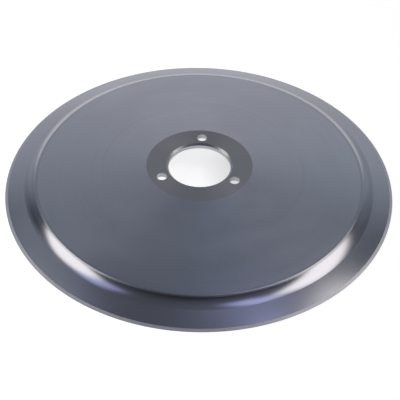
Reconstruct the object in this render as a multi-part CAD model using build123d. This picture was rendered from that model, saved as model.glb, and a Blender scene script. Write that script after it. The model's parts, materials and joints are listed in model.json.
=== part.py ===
from build123d import *
import math
import os

# Food slicer blade: one round steel plate, dished, ground hollow behind its rim and
# sharpened all round. Its flat seat, bore and screw holes fix it to the slicer's hub.
# Millimetres. The origin is the centre of the circle of the cutting edge, which lies in
# the plane Z = 0, and +Z points from that plane to the hub seat.

# Overall sizes
blade_diameter = 250.0
blade_height = 16.5
plate_thickness = 4.0

# Hub: the bore, the flat seat round it and the screw holes
bore_diameter = 40.0
bore_chamfer = 1.2
bore_back_chamfer = 0.5
seat_width = 14.0
hole_count = 3
hole_diameter = 6.6
hole_from_bore = 6.6
hole_countersink = 0.8
first_hole_angle = 90.0

# Rim, from the cutting edge inwards: honed bevel, ground flange, hollow and shoulder
edge_thickness = 0.1
bevel_width = 1.8
bevel_angle = 24.0
flange_width = 10.8
flange_angle = 19.0
hollow_width = 7.4
shoulder_height = 9.0
shoulder_radius = 4.0

# Underside, from the cutting edge inwards: flat land, relief and ramp into the dish
land_width = 6.0
relief_width = 9.0
relief_angle = 2.0
ramp_width = 8.0
ramp_foot_radius = 3.0
ramp_top_radius = 6.0

# How far a cutter reaches past the faces that it cuts through
cutter_reach = 1.0

blade_radius = blade_diameter / 2
bore_radius = bore_diameter / 2
seat_radius = bore_radius + seat_width
hole_radius = hole_diameter / 2
hole_circle_radius = bore_radius + hole_from_bore
hub_underside = blade_height - plate_thickness


def rise(width, angle):
    """Height gained over a radial width at an angle in degrees."""
    return width * math.tan(math.radians(angle))


def rim_points():
    """Shoulder, foot of the hollow, top of the bevel and the two sides of the edge."""
    bevel_radius = blade_radius - bevel_width
    bevel_top = edge_thickness + rise(bevel_width, bevel_angle)
    foot_radius = bevel_radius - flange_width
    foot_height = bevel_top + rise(flange_width, flange_angle)
    return (
        (foot_radius - hollow_width, shoulder_height),
        (foot_radius, foot_height),
        (bevel_radius, bevel_top),
        (blade_radius, edge_thickness),
        (blade_radius, 0),
    )


def dish_points(shoulder):
    """Underside: inner side of the land, foot and top of the ramp, corner of the hub.

    The dish lies one plate thickness under the cone between the seat and the shoulder.
    """
    shoulder_place, shoulder_top = shoulder
    dish_angle = math.atan2(blade_height - shoulder_top, shoulder_place - seat_radius)
    land_radius = blade_radius - land_width
    foot_radius = land_radius - relief_width
    top_radius = foot_radius - ramp_width
    hub_radius = seat_radius - plate_thickness * math.tan(dish_angle / 2)
    top_height = hub_underside - (top_radius - hub_radius) * math.tan(dish_angle)
    return (
        (land_radius, 0),
        (foot_radius, rise(relief_width, relief_angle)),
        (top_radius, top_height),
        (hub_radius, hub_underside),
    )


def blade_section():
    """Half section of the blade, from the bore to the cutting edge."""
    shoulder, foot, bevel_top, edge_top, edge_bottom = rim_points()
    flange_slope = math.radians(flange_angle)
    inward = (-math.cos(flange_slope), math.sin(flange_slope))
    bore_top = (bore_radius, blade_height - bore_chamfer)
    bore_bottom = (bore_radius, hub_underside + bore_back_chamfer)
    with BuildSketch(Plane.XZ) as section:
        with BuildLine():
            Polyline(
                bore_top,
                (bore_radius + bore_chamfer, blade_height),
                (seat_radius, blade_height),
                shoulder,
            )
            TangentArc(foot, shoulder, tangent=inward)
            Polyline(foot, bevel_top, edge_top, edge_bottom)
            FilletPolyline(
                edge_bottom,
                *dish_points(shoulder),
                (bore_radius + bore_back_chamfer, hub_underside),
                radius=(0, ramp_foot_radius, ramp_top_radius, 0),
            )
            Polyline(
                (bore_radius + bore_back_chamfer, hub_underside),
                bore_bottom,
                bore_top,
            )
        make_face()
        fillet(section.vertices().sort_by_distance(shoulder)[0], shoulder_radius)
    return section.sketch


def screw_hole():
    """Cutter for one screw hole, countersunk from the underside."""
    drill_height = plate_thickness + 2 * cutter_reach
    drill = Pos(0, 0, hub_underside - cutter_reach) * Cylinder(
        hole_radius, drill_height, align=(Align.CENTER, Align.CENTER, Align.MIN)
    )
    mouth = Pos(0, 0, hub_underside) * Cone(
        hole_radius + hole_countersink,
        hole_radius,
        hole_countersink,
        align=(Align.CENTER, Align.CENTER, Align.MIN),
    )
    return drill + mouth


def slicer_blade():
    """The section turned about the axis, with the ring of screw holes cut."""
    plate = revolve(blade_section(), axis=Axis.Z)
    holes = PolarLocations(hole_circle_radius, hole_count, start_angle=first_hole_angle)
    return plate - [place * screw_hole() for place in holes]


os.makedirs("parts", exist_ok=True)
export_step(slicer_blade(), "parts/slicer_blade.step")
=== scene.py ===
import json
import math

import bpy
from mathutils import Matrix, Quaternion, Vector

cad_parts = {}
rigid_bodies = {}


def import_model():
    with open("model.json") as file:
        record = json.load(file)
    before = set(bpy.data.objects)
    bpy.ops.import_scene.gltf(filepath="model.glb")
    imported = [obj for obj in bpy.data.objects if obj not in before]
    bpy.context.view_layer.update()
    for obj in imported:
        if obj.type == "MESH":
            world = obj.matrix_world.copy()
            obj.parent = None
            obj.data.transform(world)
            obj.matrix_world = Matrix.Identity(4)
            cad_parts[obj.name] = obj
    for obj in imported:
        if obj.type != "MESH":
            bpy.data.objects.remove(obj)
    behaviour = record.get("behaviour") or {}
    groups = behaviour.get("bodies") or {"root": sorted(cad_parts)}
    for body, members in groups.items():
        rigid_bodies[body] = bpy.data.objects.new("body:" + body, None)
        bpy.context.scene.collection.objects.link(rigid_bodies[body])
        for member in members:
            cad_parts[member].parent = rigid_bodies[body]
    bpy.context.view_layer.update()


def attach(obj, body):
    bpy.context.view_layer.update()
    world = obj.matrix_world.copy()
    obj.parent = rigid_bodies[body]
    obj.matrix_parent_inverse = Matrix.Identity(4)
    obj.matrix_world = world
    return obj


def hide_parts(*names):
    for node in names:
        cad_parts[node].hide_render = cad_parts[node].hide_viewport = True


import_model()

# Camera
# It looks down on the blade from in front with a long lens, turned a little to the right
# of the first screw hole's axis and rolled a little to the left.
camera_turn = math.radians(2.68)
camera_elevation = math.radians(43.48)
camera_roll = math.radians(1.27)
camera_distance = 0.7276
camera_aim = Vector((0.0008, 0.0, -0.0148))

towards_camera = Vector(
    (
        math.sin(camera_turn) * math.cos(camera_elevation),
        -math.cos(camera_turn) * math.cos(camera_elevation),
        math.sin(camera_elevation),
    )
)
camera_data = bpy.data.cameras.new("camera")
camera_data.lens = 99.2
camera_data.sensor_width = 36.0
camera = bpy.data.objects.new("camera", camera_data)
camera.location = camera_aim + towards_camera * camera_distance
camera.rotation_mode = "QUATERNION"
roll = Quaternion((0, 0, 1), camera_roll)
camera.rotation_quaternion = (-towards_camera).to_track_quat("-Z", "Y") @ roll
bpy.context.scene.collection.objects.link(camera)
bpy.context.scene.camera = camera
bpy.context.scene.view_settings.view_transform = "Standard"


# Floor
# A plain white light table, wide enough to fill every view. Its glow leaves no hard shadow
# and brightens the bore and the screw holes from below. It fades a little to the right, and
# its glow is dimmed in a soft patch under the right side of the hub, a painted shade.
floor_width = 30.0
floor_drop = 0.0001
glow_left = 0.85
glow_right = 0.70
glow_reach = 0.2
# painted shade under the hub: its middle, the distance where it is full and where it ends, and the
# glow left in it
shade_middle = (0.045, 0.01, 0)
shade_inner = 0.02
shade_outer = 0.045
shade_level = 0.72
bpy.ops.object.select_all(action="DESELECT")
bpy.ops.mesh.primitive_plane_add(size=floor_width, location=(0, 0, -floor_drop))
floor = bpy.context.object
floor.name = "floor"
floor_paint = bpy.data.materials.new("table glass")
floor_paint.use_nodes = True
floor_shader = floor_paint.node_tree.nodes["Principled BSDF"]
floor_shader.inputs["Base Color"].default_value = (0.40, 0.40, 0.41, 1)
floor_shader.inputs["Roughness"].default_value = 0.8
floor_shader.inputs["Specular IOR Level"].default_value = 0.0
floor_shader.inputs["Emission Color"].default_value = (1, 1, 1, 1)


def calculated(tree, operation, *values, kind="Math", result="Value"):
    """Result of one step of arithmetic. A value is the output of a node, or fixed."""
    step = tree.nodes.new("ShaderNode" + kind)
    step.operation = operation
    for socket, value in zip(step.inputs, values):
        if isinstance(value, bpy.types.NodeSocket):
            tree.links.new(value, socket)
        else:
            socket.default_value = value
    return step.outputs[result]


def ranged(tree, value, start, end, low=0.0, high=1.0, smooth=False):
    """Low up to the start of the value's range, high from its end, even or smooth between."""
    stretch = tree.nodes.new("ShaderNodeMapRange")
    if smooth:
        stretch.interpolation_type = "SMOOTHSTEP"
    stretch.inputs["From Min"].default_value = start
    stretch.inputs["From Max"].default_value = end
    stretch.inputs["To Min"].default_value = low
    stretch.inputs["To Max"].default_value = high
    tree.links.new(value, stretch.inputs["Value"])
    return stretch.outputs["Result"]


table = floor_paint.node_tree
table_place = table.nodes.new("ShaderNodeTexCoord").outputs["Object"]
table_sides = table.nodes.new("ShaderNodeSeparateXYZ")
table.links.new(table_place, table_sides.inputs[0])
table_glow = ranged(table, table_sides.outputs["X"], -glow_reach, glow_reach, glow_left, glow_right)
# Painted shade: the glow is dimmed in a soft patch under the right side of the hub.
from_shade = calculated(table, "DISTANCE", table_place, shade_middle, kind="VectorMath")
painted_table_shade = ranged(table, from_shade, shade_inner, shade_outer, shade_level)
shaded_glow = calculated(table, "MULTIPLY", table_glow, painted_table_shade)
table.links.new(shaded_glow, floor_shader.inputs["Emission Strength"])
floor.data.materials.append(floor_paint)


# Studio light
# A pale backdrop glows low behind the blade, fades to a dark ceiling and comes back as a dim
# wall behind the camera. A warm soft box stands on each side with a violet strip beside it,
# and faint violet and cool lamps and one dark card stand between them.
world = bpy.data.worlds.new("studio")
world.use_nodes = True
bpy.context.scene.world = world
sky = world.node_tree
sky_strength = 1.18
direction = sky.nodes.new("ShaderNodeTexCoord").outputs["Generated"]


def facing(around, tilt):
    """Direction at an angle round the blade from the camera's right, tilted from upright."""
    turned, tilt = math.radians(around) + camera_turn, math.radians(tilt)
    return Vector(
        (math.cos(turned) * math.sin(tilt), math.sin(turned) * math.sin(tilt), math.cos(tilt))
    )


def cosine_to(axis):
    """Cosine of the angle between what is seen in the sky and an axis."""
    return calculated(sky, "DOT_PRODUCT", direction, axis, kind="VectorMath")


def disc(around, tilt, width, blur):
    """Mask of a round light. Angles are in degrees."""
    outer = math.cos(math.radians((width + blur) / 2))
    inner = math.cos(math.radians((width - blur) / 2))
    return ranged(sky, cosine_to(facing(around, tilt)), outer, inner, smooth=True)


def box(around, tilt, size, blur, turn=0):
    """Mask of a soft box: its width round the blade and its width in tilt, in degrees."""
    axis = facing(around, tilt)
    side = Vector((-axis.y, axis.x, 0)).normalized()
    side.rotate(Quaternion(axis, math.radians(turn)))
    mask = ranged(sky, cosine_to(axis), 0.0, 0.5, smooth=True)
    for way, width in zip((side, axis.cross(side)), size):
        outer = math.sin(math.radians((width + blur) / 2))
        inner = math.sin(math.radians((width - blur) / 2))
        off = calculated(sky, "ABSOLUTE", cosine_to(way))
        mask = calculated(sky, "MULTIPLY", mask, ranged(sky, off, outer, inner, smooth=True))
    return mask


backdrop = sky.nodes.new("ShaderNodeValToRGB")
backdrop_cosine = cosine_to(facing(92, 80))
sky.links.new(ranged(sky, backdrop_cosine, -1.0, 1.0), backdrop.inputs["Fac"])
# cosine of the angle from the backdrop's middle, level, blue over red
backdrop_steps = (
    (-0.97, 0.50, 1.10),
    (-0.85, 0.34, 1.12),
    (-0.72, 0.14, 1.16),
    (-0.58, 0.045, 1.20),
    (-0.45, 0.035, 1.20),
    (-0.36, 0.055, 1.20),
    (-0.22, 0.11, 1.20),
    (-0.05, 0.15, 1.20),
    (0.20, 0.17, 1.20),
    (0.48, 0.16, 1.30),
    (0.62, 0.20, 1.36),
    (0.74, 0.33, 1.26),
    (0.86, 0.55, 1.14),
    (0.93, 0.68, 1.06),
    (0.985, 0.88, 1.02),
)
while len(backdrop.color_ramp.elements) < len(backdrop_steps):
    backdrop.color_ramp.elements.new(0.5)
for step, (cosine, level, blueness) in zip(backdrop.color_ramp.elements, backdrop_steps):
    step.position = (cosine + 1) / 2
    step.color = (level / math.sqrt(blueness), level, level * math.sqrt(blueness), 1)
WARM = (1.0, 0.95, 0.86)
COOL = (0.86, 0.95, 1.0)
VIOLET = (0.60, 0.62, 1.0)
# level, colour, masks; a level below 0 is a dark card, which takes light away
lights = (
    (2.7, WARM, box(5.6, 44, (27.2, 42), 8, -12), disc(6, 48.0, 48, 14)),
    (2.7, WARM, box(176.5, 53, (28, 60), 6), disc(178.5, 53.7, 37, 9)),
    (1.6, VIOLET, box(-12, 16.5, (20, 11), 8)),
    (1.25, VIOLET, box(181, 30, (21, 10), 8)),
    (0.08, VIOLET, disc(-27, 18, 40, 24)),
    (0.40, VIOLET, disc(60, 18, 14, 10)),
    (0.24, COOL, disc(142, 41, 20, 13)),
    (0.16, COOL, disc(62, 60, 22, 10)),
    (0.08, COOL, disc(128, 66, 24, 12)),
    (0.16, COOL, disc(44, 88, 24, 14)),
    (0.14, COOL, disc(39, 73, 22, 14)),
    (-0.08, COOL, disc(141, 58, 16, 10)),
    (0.16, COOL, disc(136, 85, 26, 16)),
)
glow = backdrop.outputs["Color"]
for level, colour, *masks in lights:
    share = masks[0]
    for mask in masks[1:]:
        share = calculated(sky, "MULTIPLY", share, mask)
    light = sky.nodes.new("ShaderNodeMixRGB")
    light.blend_type = "ADD" if level > 0 else "SUBTRACT"
    light.inputs["Color2"].default_value = (*[abs(level) * c for c in colour], 1)
    sky.links.new(share, light.inputs["Fac"])
    sky.links.new(glow, light.inputs["Color1"])
    glow = light.outputs["Color"]
sky_glow = sky.nodes["Background"]
sky_glow.inputs["Strength"].default_value = sky_strength
sky.links.new(glow, sky_glow.inputs["Color"])


# Blade
# One round plate of hardened steel, pressed to a shallow dish and turned to its outline. Its
# rim is ground hollow and sharpened, and three screw holes are drilled through the hub.
MM = 0.001
blade_radius = 125.0 * MM
blade_height = 16.5 * MM
plate_thickness = 4.0 * MM
bore_radius = 20.0 * MM
bore_chamfer = 1.2 * MM
bore_back_chamfer = 0.5 * MM
seat_radius = 34.0 * MM
shoulder_height = 9.0 * MM
shoulder_round = 4.0 * MM
hollow_width = 7.4 * MM
flange_width = 10.8 * MM
flange_slope = math.radians(19.0)
bevel_width = 1.8 * MM
bevel_slope = math.radians(24.0)
edge_thickness = 0.1 * MM
land_width = 6.0 * MM
relief_width = 9.0 * MM
relief_slope = math.radians(2.0)
ramp_width = 8.0 * MM
ramp_foot_round = 3.0 * MM
ramp_top_round = 6.0 * MM
hub_underside = blade_height - plate_thickness
bevel_radius = blade_radius - bevel_width
foot_radius = bevel_radius - flange_width
shoulder_radius = foot_radius - hollow_width
TURNS = 384


def arc(centre, radius, start, end, steps):
    """Points of an arc in the section, from one polar angle to another."""
    spread = [start + (end - start) * i / steps for i in range(steps + 1)]
    return [centre + Vector((math.cos(a), math.sin(a))) * radius for a in spread]


def heading(vector):
    """Polar angle of a vector in the section."""
    return math.atan2(vector.y, vector.x)


def rounded(before, corner, after, radius, steps):
    """Points of the arc that rounds the corner between two straight runs."""
    back, on = (before - corner).normalized(), (after - corner).normalized()
    half = back.angle(on) / 2
    centre = corner + (back + on).normalized() * radius / math.sin(half)
    first = heading(corner + back * radius / math.tan(half) - centre)
    last = heading(corner + on * radius / math.tan(half) - centre)
    turn = (last - first + math.pi) % (2 * math.pi) - math.pi
    return arc(centre, radius, first, first + turn, steps)


bevel_top = edge_thickness + bevel_width * math.tan(bevel_slope)
foot = Vector((foot_radius, bevel_top + flange_width * math.tan(flange_slope)))
shoulder = Vector((shoulder_radius, shoulder_height))
seat_edge = Vector((seat_radius, blade_height))
flange_normal = Vector((math.sin(flange_slope), math.cos(flange_slope)))
chord = shoulder - foot
hollow_radius = chord.length_squared / (2 * chord.dot(flange_normal))
hollow_centre = foot + flange_normal * hollow_radius

# The shoulder's round touches the cone from below and the hollow from outside.
cone_way = (seat_edge - shoulder).normalized()
cone_normal = Vector((cone_way.y, -cone_way.x))
from_hollow = shoulder - cone_normal * shoulder_round - hollow_centre
across = cone_way.dot(from_hollow)
gap = (hollow_radius + shoulder_round) ** 2 - from_hollow.length_squared
round_centre = hollow_centre + from_hollow + cone_way * (math.sqrt(across**2 + gap) - across)
into_hollow = hollow_centre - round_centre

dish_slope = math.atan2(blade_height - shoulder_height, shoulder_radius - seat_radius)
hub_corner = Vector((seat_radius - plate_thickness * math.tan(dish_slope / 2), hub_underside))
land_end = Vector((blade_radius - land_width, 0))
ramp_foot = land_end + Vector((-relief_width, relief_width * math.tan(relief_slope)))
ramp_top_radius = ramp_foot.x - ramp_width
ramp_top_height = hub_underside - (ramp_top_radius - hub_corner.x) * math.tan(dish_slope)
ramp_top = Vector((ramp_top_radius, ramp_top_height))

section = [
    Vector((bore_radius, blade_height - bore_chamfer)),
    Vector((bore_radius + bore_chamfer, blade_height)),
    seat_edge,
    *arc(round_centre, shoulder_round, heading(cone_normal), heading(into_hollow), 10),
    *arc(hollow_centre, hollow_radius, heading(-into_hollow), heading(-flange_normal), 24)[1:],
    Vector((bevel_radius, bevel_top)),
    Vector((blade_radius, edge_thickness)),
    Vector((blade_radius, 0)),
    land_end,
    *rounded(land_end, ramp_foot, ramp_top, ramp_foot_round, 8),
    *rounded(ramp_foot, ramp_top, hub_corner, ramp_top_round, 8),
    hub_corner,
    Vector((bore_radius + bore_back_chamfer, hub_underside)),
    Vector((bore_radius, hub_underside + bore_back_chamfer)),
]

bpy.ops.object.select_all(action="DESELECT")
bpy.ops.mesh.primitive_plane_add(size=MM, location=(0, 0, 0))
blade = bpy.context.object
blade.name = "ground_blade"
bpy.ops.object.mode_set(mode="EDIT")
bpy.ops.mesh.select_all(action="SELECT")
bpy.ops.mesh.merge(type="CENTER")
bpy.ops.transform.translate(value=(section[0].x, 0, section[0].y))
for point, following in zip(section, section[1:] + section[:1]):
    step = following - point
    bpy.ops.mesh.extrude_vertices_move(TRANSFORM_OT_translate={"value": (step.x, 0, step.y)})
bpy.ops.mesh.select_all(action="SELECT")
bpy.ops.mesh.remove_doubles(threshold=0.001 * MM)
bpy.ops.mesh.spin(steps=TURNS, angle=2 * math.pi, center=(0, 0, 0), axis=(0, 0, 1))
bpy.ops.mesh.select_all(action="SELECT")
bpy.ops.mesh.remove_doubles(threshold=0.001 * MM)
bpy.ops.mesh.normals_make_consistent(inside=False)
bpy.ops.object.mode_set(mode="OBJECT")

# Screw holes
# Three holes for the M6 screws that hold the blade to the slicer's hub, drilled through the
# seat on one circle and lightly countersunk from below.
hole_count = 3
hole_radius = 3.3 * MM
hole_circle = 26.6 * MM
countersink = 0.8 * MM
reach = 1.0 * MM
drill_depth = plate_thickness - countersink + reach
bpy.ops.object.select_all(action="DESELECT")
bpy.ops.mesh.primitive_cylinder_add(
    vertices=72,
    radius=hole_radius,
    depth=drill_depth,
    location=(0, 0, hub_underside + countersink + drill_depth / 2),
)
drill = bpy.context.object
bpy.ops.object.transform_apply(location=True)
bpy.ops.object.mode_set(mode="EDIT")
bpy.ops.mesh.select_all(action="DESELECT")
bpy.ops.object.mode_set(mode="OBJECT")
for face in drill.data.polygons:
    face.select = face.normal.z < -0.5
bpy.ops.object.mode_set(mode="EDIT")
mouth_radius = hole_radius
for drop in (countersink, reach):
    wider = mouth_radius + drop
    bpy.ops.mesh.extrude_region_move(TRANSFORM_OT_translate={"value": (0, 0, -drop)})
    bpy.ops.transform.resize(value=(wider / mouth_radius, wider / mouth_radius, 1))
    mouth_radius = wider
bpy.ops.object.mode_set(mode="OBJECT")
bpy.ops.transform.translate(value=(0, hole_circle, 0))
for hole in range(1, hole_count):
    bpy.ops.object.duplicate()
    before = math.pi / 2 + 2 * math.pi * (hole - 1) / hole_count
    here = before + 2 * math.pi / hole_count
    bpy.ops.transform.translate(
        value=(
            hole_circle * (math.cos(here) - math.cos(before)),
            hole_circle * (math.sin(here) - math.sin(before)),
            0,
        )
    )
drills = [o for o in bpy.data.objects if o.name.startswith(drill.name)]
for each in drills:
    each.select_set(True)
bpy.context.view_layer.objects.active = drill
bpy.ops.object.join()
drilled = blade.modifiers.new("screw holes", "BOOLEAN")
drilled.operation = "DIFFERENCE"
drilled.solver = "EXACT"
drilled.object = drill
bpy.ops.object.select_all(action="DESELECT")
blade.select_set(True)
bpy.context.view_layer.objects.active = blade
bpy.ops.object.modifier_apply(modifier=drilled.name)
bpy.data.objects.remove(drill)

# Crisp lines
# The ground faces meet in crisp rings that are too flat for an angle to find, so their
# edges are marked where the shading has to break.
crisp = (seat_edge, Vector((bevel_radius, bevel_top)), land_end, hub_corner)
corners = blade.data.vertices
for edge in blade.data.edges:
    ends = [corners[i].co for i in edge.vertices]
    places = [Vector((end.xy.length, end.z)) for end in ends]
    edge.use_edge_sharp = any(
        all((place - ring).length < 0.01 * MM for place in places) for ring in crisp
    )
bpy.ops.object.shade_smooth_by_angle(angle=math.radians(25), keep_sharp_edges=True)


# Steel
# The whole blade is one bare steel. Each ground or turned face has its own finish of fine
# lines that run round the axis, and the plate keeps two faint rings from its polishing.
noise_low = 0.3
noise_high = 0.7
line_contrast = 0.015
patch_contrast = 0.1


def polar_place(tree):
    """Distance from the axis, and the way out from it."""
    place = tree.nodes.new("ShaderNodeTexCoord").outputs["Object"]
    flat = calculated(tree, "MULTIPLY", place, (1, 1, 0), kind="VectorMath", result="Vector")
    radius = calculated(tree, "LENGTH", flat, kind="VectorMath")
    return radius, calculated(tree, "NORMALIZE", flat, kind="VectorMath", result="Vector")


def polar_noise(tree, radius, outward, lines, spokes, detail):
    """Noise stretched round the axis: lines for each metre of radius, and a soft change
    round the blade."""
    depth = tree.nodes.new("ShaderNodeCombineXYZ")
    tree.links.new(calculated(tree, "MULTIPLY", radius, lines), depth.inputs["Z"])
    spread = calculated(
        tree,
        "MULTIPLY_ADD",
        outward,
        (spokes, spokes, spokes),
        depth.outputs["Vector"],
        kind="VectorMath",
        result="Vector",
    )
    noise = tree.nodes.new("ShaderNodeTexNoise")
    noise.inputs["Scale"].default_value = 1.0
    noise.inputs["Detail"].default_value = detail
    tree.links.new(spread, noise.inputs["Vector"])
    return noise.outputs["Fac"]


def around_level(tree, noise, level, contrast):
    """Noise stretched to a contrast round a level."""
    low, high = level * (1 - contrast), level * (1 + contrast)
    return ranged(tree, noise, noise_low, noise_high, low, high)


def polishing_ring(tree, radius, outward, middle, width, depth, way):
    """Darkness of a faint ring, which shows on the side of the blade that way points to."""
    off = calculated(tree, "ABSOLUTE", calculated(tree, "SUBTRACT", radius, middle))
    near = ranged(tree, off, width, 0.0, 0.0, depth, smooth=True)
    way = math.radians(way)
    axis = (math.cos(way), math.sin(way), 0)
    towards = calculated(tree, "DOT_PRODUCT", outward, axis, kind="VectorMath")
    return calculated(tree, "MULTIPLY", near, ranged(tree, towards, 0.2, 0.8))


def bowed(tree, radius, inner, outer, degrees):
    """Height over a band that bows down, from level at its inner radius to a slope."""
    drop = math.tan(math.radians(degrees)) * (outer - inner)
    square = calculated(tree, "POWER", ranged(tree, radius, inner, outer), 2.0)
    return calculated(tree, "MULTIPLY", square, -drop / 2)


def pinched(tree, radius, inner, outer, degrees):
    """Height over a band that stands up in the middle, with a slope to each side."""
    rise = math.tan(math.radians(degrees)) * (outer - inner)
    wave = calculated(tree, "COSINE", ranged(tree, radius, inner, outer, 0.0, 2 * math.pi))
    return calculated(tree, "MULTIPLY", wave, -rise / (2 * math.pi))


def ground_steel(name, colour, roughness, anisotropy, lines, lean=0.0, bend=None, rings=()):
    """Bare steel with fine lines round the axis.

    It reflects as if it leaned inwards by some degrees. A bend is bowed or pinched, with
    its band and its slope in degrees, and rings are the marks of its polishing.
    """
    steel = bpy.data.materials.new(name)
    steel.use_nodes = True
    tree = steel.node_tree
    nodes, links = tree.nodes, tree.links
    shader = nodes["Principled BSDF"]
    shader.inputs["Metallic"].default_value = 1.0
    shader.inputs["Anisotropic"].default_value = anisotropy
    shader.inputs["Anisotropic Rotation"].default_value = 0.25
    tangent = nodes.new("ShaderNodeTangent")
    tangent.direction_type = "RADIAL"
    tangent.axis = "Z"
    links.new(tangent.outputs["Tangent"], shader.inputs["Tangent"])
    radius, outward = polar_place(tree)
    fine = polar_noise(tree, radius, outward, lines, spokes=1.2, detail=3.0)
    broad = polar_noise(tree, radius, outward, lines=60.0, spokes=2.5, detail=2.0)
    shade = around_level(tree, fine, 1.0, line_contrast)
    for ring in rings:
        shade = calculated(tree, "SUBTRACT", shade, polishing_ring(tree, radius, outward, *ring))
    tint = nodes.new("ShaderNodeMixRGB")
    tint.blend_type = "MULTIPLY"
    tint.inputs["Fac"].default_value = 1.0
    tint.inputs["Color1"].default_value = (*colour, 1)
    links.new(shade, tint.inputs["Color2"])
    links.new(tint.outputs["Color"], shader.inputs["Base Color"])
    links.new(around_level(tree, broad, roughness, patch_contrast), shader.inputs["Roughness"])
    height = calculated(tree, "MULTIPLY", radius, math.tan(math.radians(lean)))
    if bend:
        shape, *band = bend
        height = calculated(tree, "ADD", height, shape(tree, radius, *band))
    relief = nodes.new("ShaderNodeBump")
    relief.inputs["Distance"].default_value = 1.0
    links.new(height, relief.inputs["Height"])
    links.new(relief.outputs["Normal"], shader.inputs["Normal"])
    return steel


round_start = round_centre.x + cone_normal.x * shoulder_round
round_end = round_centre.x + into_hollow.normalized().x * shoulder_round
plate_bend = (bowed, 88.0 * MM, round_start, 2.0)
shoulder_bend = (pinched, round_start, round_end, 6.0)
flange_bend = (bowed, foot_radius, bevel_radius, 2.5)
flange_lean = 4.5
# middle, width, darkness, the side where it shows
polish_rings = ((62.5 * MM, 1.0 * MM, 0.06, 125), (67.0 * MM, 1.0 * MM, 0.05, 20))
# name, colour, roughness, anisotropy, lines for each metre, lean, bend, rings
finishes = (
    ground_steel("bored steel", (0.41, 0.41, 0.44), 0.30, 0.3, 3000),
    ground_steel("cut chamfer", (0.32, 0.32, 0.345), 0.40, 0.3, 3000),
    ground_steel("turned seat", (0.214, 0.210, 0.228), 0.37, 0.7, 1500),
    ground_steel("satin plate", (0.297, 0.302, 0.350), 0.30, 0.5, 400, 0, plate_bend, polish_rings),
    ground_steel("rubbed shoulder", (0.26, 0.26, 0.30), 0.33, 0.3, 1500, 0, shoulder_bend),
    ground_steel("hollow grind", (0.264, 0.266, 0.304), 0.17, 0.4, 1500),
    ground_steel("flange grind", (0.290, 0.290, 0.334), 0.22, 0.4, 800, flange_lean, flange_bend),
    ground_steel("honed bevel", (0.38, 0.38, 0.415), 0.55, 0.0, 3000),
    ground_steel("dish underside", (0.28, 0.285, 0.32), 0.38, 0.4, 600),
)
for finish in finishes:
    blade.data.materials.append(finish)
slots = {finish.name: slot for slot, finish in enumerate(finishes)}


def finish_of(face):
    """The name of the finish at a face's place."""
    radius = face.center.xy.length
    up = face.normal.z
    if abs(up) < 0.5:
        return "bored steel"
    if radius < bore_radius + bore_chamfer:
        return "cut chamfer"
    if up < 0:
        return "dish underside"
    if radius < seat_radius:
        return "turned seat"
    if radius < round_start:
        return "satin plate"
    if radius < round_end:
        return "rubbed shoulder"
    if radius < foot_radius:
        return "hollow grind"
    if radius < bevel_radius:
        return "flange grind"
    return "honed bevel"


for face in blade.data.polygons:
    face.material_index = slots[finish_of(face)]

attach(blade, "root")
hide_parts("slicer_blade")
